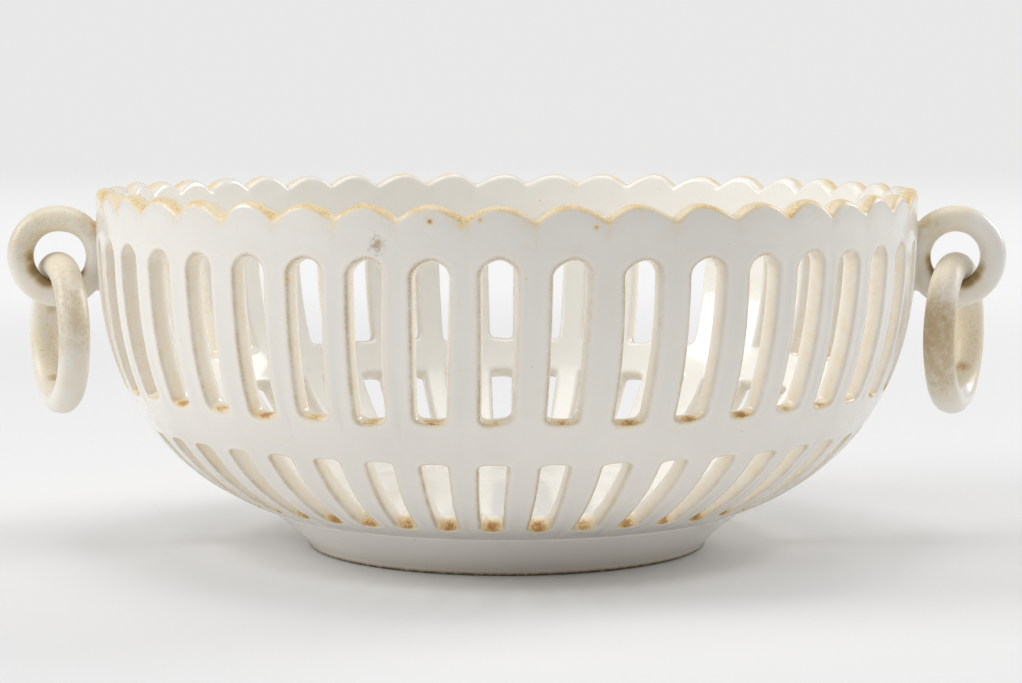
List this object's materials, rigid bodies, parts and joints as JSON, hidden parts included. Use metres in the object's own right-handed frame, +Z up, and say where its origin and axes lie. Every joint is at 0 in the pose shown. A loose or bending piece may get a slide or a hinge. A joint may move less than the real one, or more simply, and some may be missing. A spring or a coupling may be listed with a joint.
{
  "type": "pierced ceramic basket",
  "caption": "Round open basket of glazed white ware on a low foot, pierced with tall slots under a scalloped rim, with a loose ring hanging in a fixed ring at each side.",
  "frame": {"origin": "centre of the plane that the foot stands on", "axes": "+Z up through the mouth, +X through the right handle, -Y towards the viewer in the picture"},
  "size_m": [0.2576, 0.2098, 0.0923],
  "materials": {
    "bowl_glaze": "glossy clear glaze over off-white ware, cream where it pools, with ochre stains along cut edges",
    "ring_glaze": "glossy clear glaze, browner on top and inside where the rings rub",
    "slip": "slip smoothed round the handle by hand, under the same glaze, with brown stain in the creases"
  },
  "bodies": {
    "basket": {"basket_bowl": "bowl_glaze", "foot_ring": "bowl_glaze", "left_fixed_ring": "ring_glaze", "right_fixed_ring": "ring_glaze", "left_slip_joint": "slip", "right_slip_joint": "slip"},
    "left_loose_ring": {"left_loose_ring": "ring_glaze"},
    "right_loose_ring": {"right_loose_ring": "ring_glaze"}
  },
  "joints": [
    {"name": "left_ring_swing", "type": "hinge", "parent": "basket", "child": "left_loose_ring", "pos_m": [-0.11566, 0, 0.0742], "axis": [0, 1, 0], "range_deg": [-10, 182]},
    {"name": "right_ring_swing", "type": "hinge", "parent": "basket", "child": "right_loose_ring", "pos_m": [0.11566, 0, 0.0742], "axis": [0, -1, 0], "range_deg": [-10, 182]}
  ]
}
